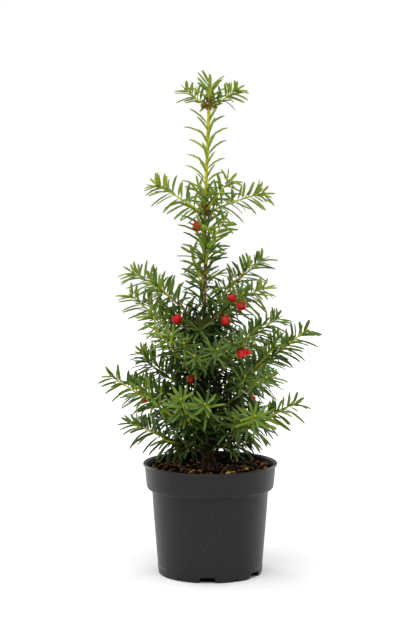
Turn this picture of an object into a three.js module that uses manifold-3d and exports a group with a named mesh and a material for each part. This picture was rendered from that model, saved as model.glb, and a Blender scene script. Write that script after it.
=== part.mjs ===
// Young English yew in a round nursery pot. Millimetres, +Z up.
// The origin is on the pot's axis, on the plane that the pot stands on; -Y is the front.
// Azimuths are in degrees: 0 is +X (right), 90 is +Y (back), 180 is -X (left), 270 is the front.

import * as THREE from "three";
import { mergeVertices } from "three/addons/utils/BufferGeometryUtils.js";
import Module from "manifold-3d";

const wasm = await Module();
wasm.setup();

// ---------------------------------------------------------------- driving dimensions

const GAP = 0.4; // clearance between neighbouring solids
const LINE_STEPS = 12; // straight steps in the line of a shoot

// Pot
const POT_HEIGHT = 108;
const RIM_RADIUS = 65;
const RIM_LIP = 3; // height of the rolled edge at the top
const COLLAR_RADIUS = 63.2; // just under the lip
const COLLAR_HEIGHT = 25; // from the rim down to the shoulder
const COLLAR_TAPER = 1.7;
const BODY_RADIUS = 56.2; // just under the shoulder
const BASE_RADIUS = 50;
const BASE_ROUNDING = 1.6;
const WALL = 1.6;
const FLOOR = 2;
const POT_SIDES = 40;
const SHOULDER_HEIGHT = POT_HEIGHT - COLLAR_HEIGHT;
const SHOULDER_BEND = 3; // the wall turns out to the collar over this height, above and below
const COLLAR_FOOT_RADIUS = COLLAR_RADIUS - COLLAR_TAPER;

// Drain notches, cut through the corner between the wall and the floor
const LARGE_NOTCH = { width: 18.5, height: 5.5, azimuths: [267, 328.5, 30, 90, 150] };
const SMALL_NOTCH = { width: 3, height: 3, azimuths: [233, 299.5, 0, 60, 120] };
const NOTCH_DEPTH = 7; // from the base radius inwards
const NOTCH_SLOPE = 2.7; // how far each side leans in, towards the top

// Potting mix
const SOIL_TOP = 101;
const SOIL_RELIEF = 1.1;
const SOIL_SIDES = 30;
const SOIL_FLAT_RADIUS = 11; // level round the stem
const SOIL_RING_RADII = [44, 31]; // where the top surface has its inner rings

// Stem: height, lean to the right, lean to the back, radius
const STEM = [
  [SOIL_TOP + GAP, -1.0, 0, 7.9],
  [106, -1.4, 0, 6.3],
  [127, -3.6, 0.5, 4.7],
  [182, -6.6, 1, 2.8],
  [226, -7.3, 1.5, 1.95],
  [267, -5.2, 1, 1.5],
  [349, -4.7, 0, 1.45],
  [405, -2.7, -0.5, 1.7],
  [448, -1.1, 0, 1.75],
  [481, 0.7, 0, 0.8],
];
const STEM_SIDES = 8;
const STEM_RINGS = 12;
const ROOT_LOBES = 5;
const ROOT_LOBE_DEPTH = 0.12;
const FLARE_HEIGHT = 12;

// Boughs
const BOUGH_RADIUS_PER_LENGTH = 0.0135; // at the stem
const BOUGH_LEAST_RADIUS = 1;
const BOUGH_TAPER = 0.7; // radius where the foliage begins, over the radius at the stem
const BOUGH_SIDES = 6;
const BOUGH_RINGS = 3;

// Foliage
const FOLIAGE_SIDES = 7;
const FOLIAGE_RINGS = 7;
const FOLIAGE_BLUNTNESS = 0.7; // 1 is an ellipsoid, less is blunter
const FOLIAGE_UNEVENNESS = 0.2;
const FOLIAGE_DEPTH = 0.85; // depth over width: the needles lie roughly in two ranks
const NEEDLE_OVERHANG = 10; // needles beyond the end of a shoot

// Shoots: where each leaves the stem, where it points, and how far it is bare.
// A shoot with a bare length has a bough; the rest are clothed right to the stem.
// name, height, azimuth, sweep, rise at the stem, rise at the tip, length, bare length,
// radius of its foliage
const SHOOTS = [
  ["top_left", 449, 170, 0, 32, 43, 28, 0, 13],
  ["top_right", 449, 342, 14, 26, 40, 32, 0, 13],
  ["top_back", 450, 80, 0, 34, 50, 18, 0, 13],
  ["upper_left", 347, 204, -25, 35, 28, 55, 0, 15],
  ["upper_right", 348, 15, -18, 25, 14, 59, 0, 15],
  ["upper_right_inner", 350, 324, -14, 50, 38, 45, 0, 14],
  ["upper_back", 349, 95, 10, 36, 24, 44, 0, 15],
  ["upper_front", 300, 292, 10, 58, 38, 58, 0, 16],
  ["upper_back_left", 277, 124, -10, 62, 34, 44, 0, 16],
  ["upper_back_right", 290, 78, 0, 58, 44, 38, 0, 16],
  ["shoulder_left", 235, 173, 7, 52, 28, 88, 20, 18],
  ["shoulder_right", 246, 17, -2, 52, 36, 82, 18, 17],
  ["shoulder_back", 252, 95, 5, 44, 26, 70, 0, 18],
  ["mid_right", 238, 350, -26, 46, 20, 76, 16, 17],
  ["mid_left", 211, 161, 15, 38, 40, 91, 20, 18],
  ["front_high", 196, 280, 0, 22, 22, 84, 0, 18],
  ["mid_right_inner", 190, 5, 5, 42, 34, 92, 20, 17],
  ["mid_back_right", 215, 58, -8, 42, 32, 85, 18, 19],
  ["mid_back_left", 205, 122, 8, 42, 32, 84, 0, 19],
  ["left_front", 174, 223, 6, 53, 40, 97, 20, 19],
  ["right_front_high", 176, 328, -46, 48, 30, 98, 22, 19],
  ["back_mid", 178, 88, 4, 38, 32, 96, 20, 19],
  ["long_left", 132, 181, 6, 33, 34, 109, 24, 18],
  ["long_right", 161, 356, 10, 35, 40, 123, 26, 18],
  ["inner_left", 149, 165, -6, 20, 42, 70, 0, 17],
  ["right_front", 141, 344, -54, 53, 16, 103, 22, 18],
  ["low_left", 115, 194, -8, 22, 26, 81, 20, 17],
  ["low_right", 125, 12, -9, 21, 27, 96, 22, 18],
  ["front_left", 117, 236, 25, 46, 38, 92, 20, 18],
  ["front_right", 114, 332, -56, 36, 26, 96, 20, 18],
  ["front_low", 132, 272, -5, 38, 28, 77, 0, 17],
  ["back_left", 158, 142, 4, 34, 34, 90, 0, 19],
  ["back_right", 152, 38, 6, 34, 34, 94, 0, 19],
  ["low_back_left", 122, 124, 4, 26, 28, 86, 20, 19],
  ["low_back_right", 118, 60, -6, 26, 28, 88, 20, 19],
];

// Foliage round the stem itself: name, lower end, upper end, radius
const STEM_FOLIAGE = [
  ["leader_tip", 454, 486, 14],
  ["leader", 358, 450, 18],
  ["upper_stem", 268, 344, 18],
];

const COLOURS = {
  pot: "#333333",
  soil: "#38271b",
  bark: "#6b4a31",
  bough: "#6f6434",
  youngFoliage: "#7da047",
  foliage: "#4f7432",
  shadedFoliage: "#35552a",
};
const YOUNG_ABOVE = 345; // the newest foliage is above this height
const SHADED_BELOW = 150;

// ---------------------------------------------------------------- helpers

const rad = THREE.MathUtils.degToRad;
const lerp = THREE.MathUtils.lerp;
const UP = new THREE.Vector3(0, 0, 1);

function positionsOnly(geometry) {
  geometry.deleteAttribute("normal");
  geometry.deleteAttribute("uv");
  return mergeVertices(geometry, 1e-4);
}

function toSolid(geometry) {
  const merged = positionsOnly(geometry);
  return new wasm.Manifold(
    new wasm.Mesh({
      numProp: 3,
      vertProperties: merged.attributes.position.array,
      triVerts: new Uint32Array(merged.index.array),
    }),
  );
}

function toGeometry(solid) {
  const mesh = solid.getMesh();
  const geometry = new THREE.BufferGeometry();
  geometry.setAttribute("position", new THREE.BufferAttribute(mesh.vertProperties, 3));
  geometry.setIndex(new THREE.BufferAttribute(mesh.triVerts, 1));
  return geometry;
}

// Moves each vertex of a geometry to the place that the rule gives for it.
function reshape(geometry, rule) {
  const positions = geometry.attributes.position;
  const vertex = new THREE.Vector3();
  for (let i = 0; i < positions.count; i++) {
    vertex.fromBufferAttribute(positions, i);
    const moved = rule(vertex, i);
    positions.setXYZ(i, moved.x, moved.y, moved.z);
  }
  return geometry;
}

function largestBody(solid) {
  return solid.decompose().reduce((a, b) => (b.volume() > a.volume() ? b : a));
}

// ---------------------------------------------------------------- pot and soil

function innerRadiusAt(z) {
  return lerp(BASE_RADIUS, BODY_RADIUS, Math.min(z / SHOULDER_HEIGHT, 1)) - WALL;
}

function turn(profile, sides) {
  const points = profile.map(([r, z]) => new THREE.Vector2(r, z));
  return new THREE.LatheGeometry(points, sides).rotateX(Math.PI / 2);
}

function potProfile() {
  const edge = 0.8; // rounding of the rim's edges
  return [
    [0, 0],
    [BASE_RADIUS - BASE_ROUNDING, 0],
    [BASE_RADIUS, BASE_ROUNDING],
    [BODY_RADIUS, SHOULDER_HEIGHT - SHOULDER_BEND],
    [COLLAR_FOOT_RADIUS - 2, SHOULDER_HEIGHT],
    [COLLAR_FOOT_RADIUS, SHOULDER_HEIGHT + SHOULDER_BEND],
    [COLLAR_RADIUS, POT_HEIGHT - RIM_LIP],
    [RIM_RADIUS, POT_HEIGHT - RIM_LIP + edge / 2],
    [RIM_RADIUS, POT_HEIGHT - edge],
    [RIM_RADIUS - edge, POT_HEIGHT],
    [COLLAR_RADIUS - WALL, POT_HEIGHT],
    [COLLAR_FOOT_RADIUS - WALL, SHOULDER_HEIGHT + SHOULDER_BEND + 1],
    [innerRadiusAt(SHOULDER_HEIGHT), SHOULDER_HEIGHT - 1],
    [innerRadiusAt(FLOOR), FLOOR],
    [0, FLOOR],
  ];
}

function notchCutter({ width, height }, azimuth) {
  const below = 1; // the cutter runs past the pot's underside and its wall
  const foot = width / 2;
  const top = foot - Math.min(NOTCH_SLOPE, width / 4);
  const outline = new THREE.Shape([
    new THREE.Vector2(-foot, -below),
    new THREE.Vector2(foot, -below),
    new THREE.Vector2(foot, 0),
    new THREE.Vector2(top, height),
    new THREE.Vector2(-top, height),
    new THREE.Vector2(-foot, 0),
  ]);
  const depth = NOTCH_DEPTH + 2 * below;
  const cutter = new THREE.ExtrudeGeometry(outline, { depth, bevelEnabled: false });
  cutter.rotateX(Math.PI / 2);
  cutter.translate(0, -BASE_RADIUS + NOTCH_DEPTH, 0);
  cutter.rotateZ(rad(azimuth - 270));
  return toSolid(cutter);
}

function makePot() {
  let pot = toSolid(turn(potProfile(), POT_SIDES));
  for (const notch of [LARGE_NOTCH, SMALL_NOTCH]) {
    for (const azimuth of notch.azimuths) {
      pot = pot.subtract(notchCutter(notch, azimuth));
    }
  }
  return pot;
}

function soilLevel(x, y) {
  const distance = Math.hypot(x, y);
  const uneven = THREE.MathUtils.smoothstep(distance, SOIL_FLAT_RADIUS, SOIL_FLAT_RADIUS * 2);
  const broad = Math.sin(x * 0.14 + 1) * Math.cos(y * 0.12 - 0.5);
  const narrow = Math.sin(y * 0.3);
  return SOIL_TOP + SOIL_RELIEF * uneven * (0.7 * broad + 0.3 * narrow);
}

function makeSoil() {
  const collarInside = COLLAR_FOOT_RADIUS - WALL - GAP;
  const profile = [
    [0, FLOOR + GAP],
    [innerRadiusAt(FLOOR) - 2 * GAP, FLOOR + GAP],
    [innerRadiusAt(SHOULDER_HEIGHT) - GAP, SHOULDER_HEIGHT - GAP],
    [collarInside, SHOULDER_HEIGHT + 2 * SHOULDER_BEND],
    [collarInside + GAP, SOIL_TOP],
    ...SOIL_RING_RADII.map((r) => [r, SOIL_TOP]),
    [SOIL_FLAT_RADIUS, SOIL_TOP],
    [0, SOIL_TOP],
  ];
  const onTop = (v) => v.z > SOIL_TOP - 1;
  const plug = turn(profile, SOIL_SIDES);
  reshape(plug, (v) => (onTop(v) ? v.setZ(soilLevel(v.x, v.y)) : v));
  return toSolid(plug);
}

// ---------------------------------------------------------------- stem, boughs and foliage

const stemLine = new THREE.CatmullRomCurve3(
  STEM.map(([height, right, back]) => new THREE.Vector3(right, back, height)),
);

function stationBelow(height) {
  const index = STEM.findIndex(([top]) => top >= height);
  return Math.max(index - 1, 0);
}

function stemAt(height) {
  const clamped = THREE.MathUtils.clamp(height, STEM[0][0], STEM.at(-1)[0]);
  const below = stationBelow(clamped);
  const [low, high] = [STEM[below], STEM[below + 1]];
  const between = (clamped - low[0]) / (high[0] - low[0]);
  const centre = stemLine.getPoint((below + between) / (STEM.length - 1));
  centre.z = height;
  return { centre, radius: lerp(low[3], high[3], between) };
}

function makeStem(extra = 0) {
  const [base, tip] = [STEM[0][0], STEM.at(-1)[0]];
  const post = new THREE.CylinderGeometry(1, 1, 1, STEM_SIDES, STEM_RINGS);
  reshape(post, (v) => {
    const along = v.y + 0.5;
    const height = base + (tip - base) * along ** 1.5;
    const { centre, radius } = stemAt(height);
    const flare = Math.max(0, 1 - (height - base) / FLARE_HEIGHT);
    const lobes = 1 + ROOT_LOBE_DEPTH * flare * Math.cos(ROOT_LOBES * Math.atan2(v.z, v.x));
    const reach = radius * lobes + extra;
    const beyond = along > 0.999 ? extra : 0;
    return centre.add(new THREE.Vector3(v.x * reach, -v.z * reach, beyond));
  });
  return toSolid(post);
}

// The line of a shoot: it leaves the stem's centre and turns evenly in azimuth and rise.
function shootLine(height, azimuth, sweep, rise, riseAtTip, length) {
  const points = [stemAt(height).centre];
  for (let i = 0; i < LINE_STEPS; i++) {
    const along = (i + 0.5) / LINE_STEPS;
    const heading = rad(azimuth + sweep * along);
    const climb = rad(lerp(rise, riseAtTip, along));
    const step = new THREE.Vector3(
      Math.cos(climb) * Math.cos(heading),
      Math.cos(climb) * Math.sin(heading),
      Math.sin(climb),
    );
    points.push(points.at(-1).clone().addScaledVector(step, length / LINE_STEPS));
  }
  return new THREE.CatmullRomCurve3(points);
}

// The point and the two cross directions of a line, a distance (mm) from its start.
function frameAlong(line, distance) {
  const length = line.getLength();
  const within = THREE.MathUtils.clamp(distance / length, 0, 1);
  const forward = line.getTangentAt(within);
  const centre = line.getPointAt(within).addScaledVector(forward, distance - within * length);
  const side = new THREE.Vector3().crossVectors(forward, UP).normalize();
  const over = new THREE.Vector3().crossVectors(side, forward);
  return { centre, side, over };
}

function makeBough(line, length, bare, extra = 0) {
  const rootRadius = Math.max(BOUGH_LEAST_RADIUS, length * BOUGH_RADIUS_PER_LENGTH);
  const rod = new THREE.CylinderGeometry(1, 1, 1, BOUGH_SIDES, BOUGH_RINGS);
  reshape(rod, (v) => {
    const along = v.y + 0.5;
    const radius = rootRadius * lerp(1, BOUGH_TAPER, along) + extra;
    const { centre, side, over } = frameAlong(line, bare * along + extra * along);
    return centre.addScaledVector(side, v.x * radius).addScaledVector(over, v.z * radius);
  });
  return toSolid(rod);
}

// An uneven closed mass round a line from one distance along it to another.
function makeMass(place, from, to, radius, seed, extra = 0) {
  const ball = new THREE.SphereGeometry(1, FOLIAGE_SIDES, FOLIAGE_RINGS);
  const columns = FOLIAGE_SIDES + 1;
  reshape(ball, (v, index) => {
    const ring = Math.floor(index / columns);
    const column = (index % columns) % FOLIAGE_SIDES;
    const chance = THREE.MathUtils.seededRandom(seed * 1000 + ring * FOLIAGE_SIDES + column);
    const bump = 1 + FOLIAGE_UNEVENNESS * (2 * chance - 1);
    const ringRadius = Math.hypot(v.x, v.z);
    const blunt = ringRadius > 1e-6 ? ringRadius ** FOLIAGE_BLUNTNESS / ringRadius : 0;
    const along = (1 - v.y) / 2;
    const distance = lerp(from - extra, to + extra, along);
    const { centre, side, over } = place(distance);
    return centre
      .addScaledVector(side, v.x * blunt * (radius * bump + extra))
      .addScaledVector(over, -v.z * blunt * (radius * FOLIAGE_DEPTH * bump + extra));
  });
  return toSolid(ball);
}

function placeOnStem(height) {
  const { centre } = stemAt(height);
  return { centre, side: new THREE.Vector3(1, 0, 0), over: new THREE.Vector3(0, -1, 0) };
}

// ---------------------------------------------------------------- assembly

const tree = new THREE.Group();

function addNode(name, solid, colour, roughness) {
  const material = new THREE.MeshStandardMaterial({ color: colour, roughness, metalness: 0 });
  const mesh = new THREE.Mesh(toGeometry(solid), material);
  mesh.name = name;
  tree.add(mesh);
}

// Each solid is cut back from the ones made before it, which are kept a little larger here.
const occupied = [];

function cutBack(solid) {
  const clear = occupied.reduce((rest, neighbour) => rest.subtract(neighbour), solid);
  return largestBody(clear);
}

function foliageColour(height) {
  if (height > YOUNG_ABOVE) return COLOURS.youngFoliage;
  return height < SHADED_BELOW ? COLOURS.shadedFoliage : COLOURS.foliage;
}

addNode("pot", makePot(), COLOURS.pot, 0.6);
addNode("soil", makeSoil(), COLOURS.soil, 0.95);
addNode("trunk", makeStem(), COLOURS.bark, 0.85);
occupied.push(makeStem(GAP));

const shoots = SHOOTS.map((row, index) => {
  const [name, height, azimuth, sweep, rise, riseAtTip, length, bare, radius] = row;
  const line = shootLine(height, azimuth, sweep, rise, riseAtTip, length);
  return { name, height, line, length, bare, radius, seed: index + 1 };
});

for (const shoot of shoots.filter(({ bare }) => bare > 0)) {
  const bough = cutBack(makeBough(shoot.line, shoot.length, shoot.bare));
  addNode(`${shoot.name}_bough`, bough, COLOURS.bough, 0.8);
  occupied.push(makeBough(shoot.line, shoot.length, shoot.bare, GAP));
}

STEM_FOLIAGE.forEach(([name, low, high, radius], index) => {
  const seed = SHOOTS.length + index + 1;
  const mass = cutBack(makeMass(placeOnStem, low, high, radius, seed));
  addNode(`${name}_foliage`, mass, foliageColour(high), 0.7);
  occupied.push(makeMass(placeOnStem, low, high, radius, seed, GAP));
});

for (const { name, height, line, length, bare, radius, seed } of shoots) {
  const place = (distance) => frameAlong(line, distance);
  const from = bare > 0 ? bare + GAP : stemAt(height).radius + GAP;
  const to = length + NEEDLE_OVERHANG;
  const mass = cutBack(makeMass(place, from, to, radius, seed));
  addNode(`${name}_foliage`, mass, foliageColour(height), 0.7);
  occupied.push(makeMass(place, from, to, radius, seed, GAP));
}

export default tree;
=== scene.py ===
"""A young English yew in a round nursery pot.

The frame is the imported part: metres, +Z up, the origin on the plane that the pot
stands on, -Y the front. The plant is reckoned in millimetres and made in metres.
"""

from collections import namedtuple
from math import asin, atan2, cos, degrees, hypot, pi, radians, sin, sqrt, tau

import bpy
import numpy as np
from mathutils import Matrix, Vector, noise


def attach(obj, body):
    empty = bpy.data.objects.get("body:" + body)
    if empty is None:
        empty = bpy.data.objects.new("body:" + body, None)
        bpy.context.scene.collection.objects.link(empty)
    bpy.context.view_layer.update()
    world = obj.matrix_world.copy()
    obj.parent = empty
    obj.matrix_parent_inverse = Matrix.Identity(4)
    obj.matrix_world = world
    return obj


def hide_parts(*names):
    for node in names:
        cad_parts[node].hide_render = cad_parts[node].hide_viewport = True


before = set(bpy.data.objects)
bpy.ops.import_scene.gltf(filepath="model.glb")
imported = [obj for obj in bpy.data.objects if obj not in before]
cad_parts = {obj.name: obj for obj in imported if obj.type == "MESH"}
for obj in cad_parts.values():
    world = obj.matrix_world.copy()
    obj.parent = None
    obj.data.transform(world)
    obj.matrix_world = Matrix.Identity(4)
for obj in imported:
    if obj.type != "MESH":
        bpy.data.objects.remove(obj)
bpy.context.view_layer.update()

MM = 0.001
UP = np.array([0.0, 0.0, 1.0])
FRONT = np.array([0.0, -1.0, 0.0])
chance = np.random.default_rng(20)
within, about, pick = chance.uniform, chance.normal, chance.choice


# ---------------------------------------------------------------- plant tables, in mm

# height, right, back, radius
STEM = np.array([
    (101.4, -1.0, 0.0, 7.9), (106, -1.4, 0.0, 6.3), (127, -3.6, 0.5, 4.7),
    (182, -6.6, 1.0, 2.8), (226, -7.3, 1.5, 1.95), (267, -5.2, 1.0, 1.5),
    (349, -4.7, 0.0, 1.45), (405, -2.7, -0.5, 1.7), (448, -1.1, 0.0, 1.75),
    (481, 0.7, 0.0, 0.8),
])
ROOT_LOBES = 5
ROOT_LOBE_DEPTH = 0.12
FLARE_HEIGHT = 12

# name: height, azimuth, sweep, rise at the stem, rise at the tip, length, bare length, zone,
# and where they differ from 0, 1, 1 and 0: how much fresher its green is, how wide the gaps
# between its needles are, how wide the needles are, and how far its two ranks are rolled
SHOOTS = {
    "top_left": (449, 170, 0, 32, 43, 28, 0, "top"),
    "top_right": (449, 342, 14, 26, 40, 32, 0, "top"),
    "top_back": (450, 80, 0, 34, 50, 18, 0, "top", 0, 1.5),
    "upper_left": (347, 204, -25, 35, 28, 55, 0, "top", -0.08, 1, 1, 8),
    "upper_right": (348, 15, -18, 25, 14, 59, 0, "top", -0.04, 1, 1, 34),
    "upper_right_inner": (350, 324, -14, 50, 38, 45, 0, "top", 0, 0.92),
    "upper_back": (349, 95, 10, 36, 24, 44, 0, "top"),
    "upper_front": (300, 292, 10, 58, 38, 58, 0, "top"),
    "upper_back_left": (277, 124, -10, 62, 34, 44, 0, "top", 0, 1.5),
    "upper_back_right": (290, 78, 0, 58, 44, 38, 0, "top", 0, 1.6),
    "shoulder_left": (235, 173, 7, 52, 28, 88, 20, "left", -0.05, 1.18),
    "shoulder_right": (246, 17, -2, 52, 36, 82, 18, "right", 0, 1.12, 1, 26),
    "shoulder_back": (252, 95, 5, 44, 26, 70, 0, "back", 0, 1.7),
    "mid_right": (238, 350, -26, 46, 20, 76, 16, "right"),
    "mid_left": (211, 161, 15, 38, 40, 91, 20, "left", 0.05, 1.1),
    "front_high": (196, 280, 0, 22, 22, 84, 0, "front", 0.04, 1, 0.72),
    "mid_right_inner": (190, 5, 5, 42, 34, 92, 20, "right"),
    "mid_back_right": (215, 58, -8, 42, 32, 85, 18, "back", 0, 1.15),
    "mid_back_left": (205, 122, 8, 42, 32, 84, 0, "back", 0, 1.15),
    "left_front": (174, 223, 6, 53, 40, 97, 20, "front", 0.14, 1, 0.82),
    "right_front_high": (176, 328, -46, 48, 30, 98, 22, "front", 0.06, 1, 0.74),
    "back_mid": (178, 88, 4, 38, 32, 96, 20, "back"),
    "long_left": (132, 181, 6, 33, 34, 109, 24, "left", -0.03, 1.2),
    "long_right": (161, 356, 10, 35, 40, 123, 26, "right", -0.06, 1.12, 1, 26),
    "inner_left": (149, 165, -6, 20, 42, 70, 0, "left", 0, 1.2),
    "right_front": (141, 344, -54, 53, 16, 103, 22, "front", 0.13, 1, 0.8),
    "low_left": (115, 194, -8, 22, 26, 81, 20, "left", -0.06, 1.25),
    "low_right": (125, 12, -9, 21, 27, 96, 22, "right", 0.05, 1.45),
    "front_left": (117, 236, 25, 46, 38, 92, 20, "front", 0.1),
    "front_right": (114, 332, -56, 36, 26, 96, 20, "front", 0.16),
    "front_low": (132, 272, -5, 38, 28, 77, 0, "front", 0.06),
    "back_left": (158, 142, 4, 34, 34, 90, 0, "back"),
    "back_right": (152, 38, 6, 34, 34, 94, 0, "back"),
    "low_back_left": (122, 124, 4, 26, 28, 86, 20, "back"),
    "low_back_right": (118, 60, -6, 26, 28, 88, 20, "back"),
}
# height of each whorl, and how wide its scales spread
WHORLS = ((449, 1.0), (348, 0.85))
STEM_TIP = 473
# a shoot longer than each of these carries one more side shoot
BRANCHING_LENGTHS = (65, 80, 95)
# heights at which short shoots fill the inside of the crown
INNER_HEIGHTS = range(124, 240, 5)
GOLDEN_TURN = radians(137.5)
# azimuths that needles take in turn on each stretch of the stem
LEADER_TURNS = (170, 290, 95, 244, 34)
TIP_TURNS = (158, 22, 262, 196, 340, 100, 130, 48)
COVERED_TURNS = (172, 243, 12, 297, 95)
OPEN_TURNS = (172, 208, 12, 332, 95, 140)
HIDDEN_TURNS = (60, 150, 20, 105, 165, 75, 35, 125)
# height, azimuth of the little shoots that hang over the potting mix
LOW_TUFTS = ((119, 206), (121, 330), (123, 232), (120, 40), (118, 140), (124, 88))


def clamp(value, low=0, high=1):
    return min(max(value, low), high)


def fade(distance, length):
    """1 at no distance, falling evenly to 0 over a length."""
    return max(0.0, 1 - distance / length)


# ---------------------------------------------------------------- finishes

def colour(code):
    """A hexadecimal colour as the shader wants it; a link or a colour is left as it is."""
    if not isinstance(code, str):
        return code
    parts = [int(code[i:i + 2], 16) / 255 for i in (0, 2, 4)]
    linear = [p / 12.92 if p <= 0.04045 else ((p + 0.055) / 1.055) ** 2.4 for p in parts]
    return (*linear, 1.0)


class Amount:
    """A socket that sums can be done with."""

    def __init__(self, finish, socket):
        self.finish = finish
        self.socket = socket

    def reckon(self, operation, first, second):
        return self.finish.add("ShaderNodeMath", {"operation": operation},
                               {0: first, 1: second})

    def __add__(self, other):
        return self.reckon("ADD", self, other)

    def __sub__(self, other):
        return self.reckon("SUBTRACT", self, other)

    def __rsub__(self, other):
        return self.reckon("SUBTRACT", other, self)

    def __mul__(self, other):
        return self.reckon("MULTIPLY", self, other)

    __radd__ = __add__
    __rmul__ = __mul__


class Finish:
    """A material with one principled shader, and the nodes that feed it."""

    def __init__(self, name, **sockets):
        self.material = bpy.data.materials.new(name)
        self.material.use_nodes = True
        self.tree = self.material.node_tree
        self.shader = self.tree.nodes["Principled BSDF"]
        self.set({key.replace("_", " "): value for key, value in sockets.items()})

    def set(self, sockets, node=None):
        node = node or self.shader
        for key, value in sockets.items():
            if isinstance(value, Amount):
                self.tree.links.new(value.socket, node.inputs[key])
            else:
                node.inputs[key].default_value = value

    def add(self, kind, settings=None, sockets=None, output=0):
        """Any other node: its kind, its settings, then its sockets' values or links."""
        node = self.tree.nodes.new(kind)
        for key, value in (settings or {}).items():
            setattr(node, key, value)
        self.set(sockets or {}, node)
        return Amount(self, node.outputs[output])

    def place(self, stretch=(1, 1, 1)):
        """Object coordinates, squeezed by an amount along each axis."""
        here = self.add("ShaderNodeTexCoord", output=3)
        return self.add("ShaderNodeMapping", {"vector_type": "POINT"},
                        {0: here, "Scale": stretch})

    def cloud(self, scale, detail=3.0, rough=0.55, stretch=(1, 1, 1)):
        sockets = {"Vector": self.place(stretch), "Scale": scale,
                   "Detail": detail, "Roughness": rough}
        return self.add("ShaderNodeTexNoise", None, sockets)

    def cells(self, scale, stretch=(1, 1, 1), feature="F1", output=0):
        sockets = {"Vector": self.place(stretch), "Scale": scale}
        return self.add("ShaderNodeTexVoronoi", {"feature": feature}, sockets, output)

    def between(self, amount, low, high):
        """0 at low, 1 at high, smooth between."""
        return self.add("ShaderNodeMapRange", {"interpolation_type": "SMOOTHSTEP"},
                        {0: amount, 1: low, 2: high})

    def blend(self, share, first, second):
        """first where share is 0, second where it is 1."""
        return self.add("ShaderNodeMix", {"data_type": "RGBA"},
                        {0: share, 6: colour(first), 7: colour(second)}, 2)

    def tones(self, amount, low, high, first, second, most=1):
        """first where the amount is under low, up to most of second where it is over high."""
        share = self.between(amount, low, high)
        return self.blend(share if most == 1 else share * most, first, second)

    def finished(self, base, roughness, height=None, strength=0.3, depth=0.0004):
        """The material, once its colour, its roughness and its relief are set."""
        self.set({"Base Color": base, "Roughness": roughness})
        if height:
            self.set({"Normal": self.add("ShaderNodeBump", None, {
                "Strength": strength, "Distance": depth, "Height": height})})
        return self.material


def pot_plastic():
    f = Finish("pot_plastic", Specular_IOR_Level=0.24)
    mottle = f.cloud(42, 4)
    grain = f.cloud(1500, 2)
    speck_size = f.cells(230, output=1)
    specks = f.between(f.cells(260), 0.13, 0.07) * f.between(speck_size, 0.55, 0.7)
    scuffs = f.between(f.cloud(90, 5, 0.7, (1, 1, 0.18)), 0.62, 0.78)
    body = f.blend(mottle, "191919", "222121")
    worn = f.blend(scuffs * 0.3, body, "3c3b39")
    return f.finished(f.blend(specks * 0.42, worn, "7c7971"),
                      0.36 + 0.14 * mottle + 0.2 * specks, grain + 0.6 * scuffs, 0.22)


def shaded_dusty_wall():
    """The pot's inner wall: the same plastic, painted near black as painted shade, with dust of
    potting mix dried on it.
    """
    f = Finish("pot_inner_wall", Specular_IOR_Level=0.1)
    smears = f.cloud(120, 4, 0.65, (1, 1, 0.4))
    return f.finished(f.tones(smears, 0.4, 0.7, "060505", "150e08"), 0.6 + 0.3 * smears, smears)


def mix_finish(name, dark, middle, light):
    """Potting mix and its crumbs: three tones in clots, with a rough grain."""
    f = Finish(name, Specular_IOR_Level=0.03)
    clots = f.cloud(150, 4, 0.6)
    grain = f.cloud(900, 3, 0.65)
    body = f.tones(clots, 0.42, 0.6, dark, middle)
    return f.finished(f.tones(grain, 0.58, 0.74, body, light), 0.78 + 0.2 * grain,
                      grain + clots, 0.8, 0.001)


def chip_finish(name, dark, light):
    """Chips of bark: a split grain with darker streaks."""
    f = Finish(name, Specular_IOR_Level=0.25)
    streaks = f.cloud(520, 4, 0.7, (1, 0.35, 0.35))
    patches = f.cloud(160, 3)
    body = f.tones(streaks, 0.36, 0.66, dark, light)
    return f.finished(f.tones(patches, 0.56, 0.7, body, "2a170b"), 0.62 + 0.3 * streaks,
                      streaks, 0.7, 0.0006)


def bark_finish(name):
    """Bark by its age: 1 dark and flaky, darkened further as painted shade low on the stem, then
    tan, then mottled orange, 0 green-yellow.
    """
    f = Finish(name, Specular_IOR_Level=0.3)
    age = f.add("ShaderNodeAttribute", {"attribute_name": "age"}, None, 2)
    streaks = f.cloud(700, 4, 0.65, (1, 1, 0.16))
    patches = f.cloud(330, 3, 0.6, (1, 1, 0.45))
    rims = f.between(f.cells(420, (1, 1, 0.3), "DISTANCE_TO_EDGE"), 0.09, 0.01)
    # the old bark's plates and cracks: partly their own dark tone, partly painted shade low on the
    # stem
    plates = f.tones(streaks, 0.4, 0.58, "0a0603", "321c0e")
    flakes = f.between(patches, 0.49, 0.56) * f.between(streaks, 0.4, 0.55)
    flaky = f.blend(flakes, plates, "6a4420")
    old = f.blend(rims * 0.75, flaky, "0e0805")
    ripe = f.tones(patches, 0.42, 0.6, "7d7a2a", "96662c")
    fresh = f.tones(patches, 0.4, 0.64, "cfc616", "98a522")
    rusted = f.tones(streaks, 0.6, 0.74, fresh, "a8702a", 0.6)
    blotches = f.cloud(560, 2, 0.5, (1, 1, 0.5))
    tan = f.tones(patches, 0.4, 0.58, "93793c", "645020")
    blotched = f.tones(blotches, 0.51, 0.56, tan, "1a1206", 0.94)
    youth = f.tones(age, 0.12, 0.36, rusted, ripe)
    grown = f.tones(age, 0.46, 0.62, youth, blotched)
    return f.finished(f.tones(age, 0.76, 0.95, grown, old), 0.5 + 0.35 * age + 0.1 * streaks,
                      streaks + 0.8 * rims, 0.55, 0.0005)


def needle_finish(name, code, roughness=0.42, gloss=0.26):
    return Finish(name, Base_Color=colour(code), Roughness=roughness,
                  Specular_IOR_Level=gloss).material


def scale_finish(name):
    """Papery bud scales."""
    f = Finish(name, Specular_IOR_Level=0.25)
    streaks = f.cloud(900, 3, 0.6, (1, 1, 0.3))
    return f.finished(f.tones(streaks, 0.35, 0.65, "1a0f06", "9a7a2c"), 0.6 + 0.2 * streaks,
                      streaks, 0.4, 0.0003)


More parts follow.
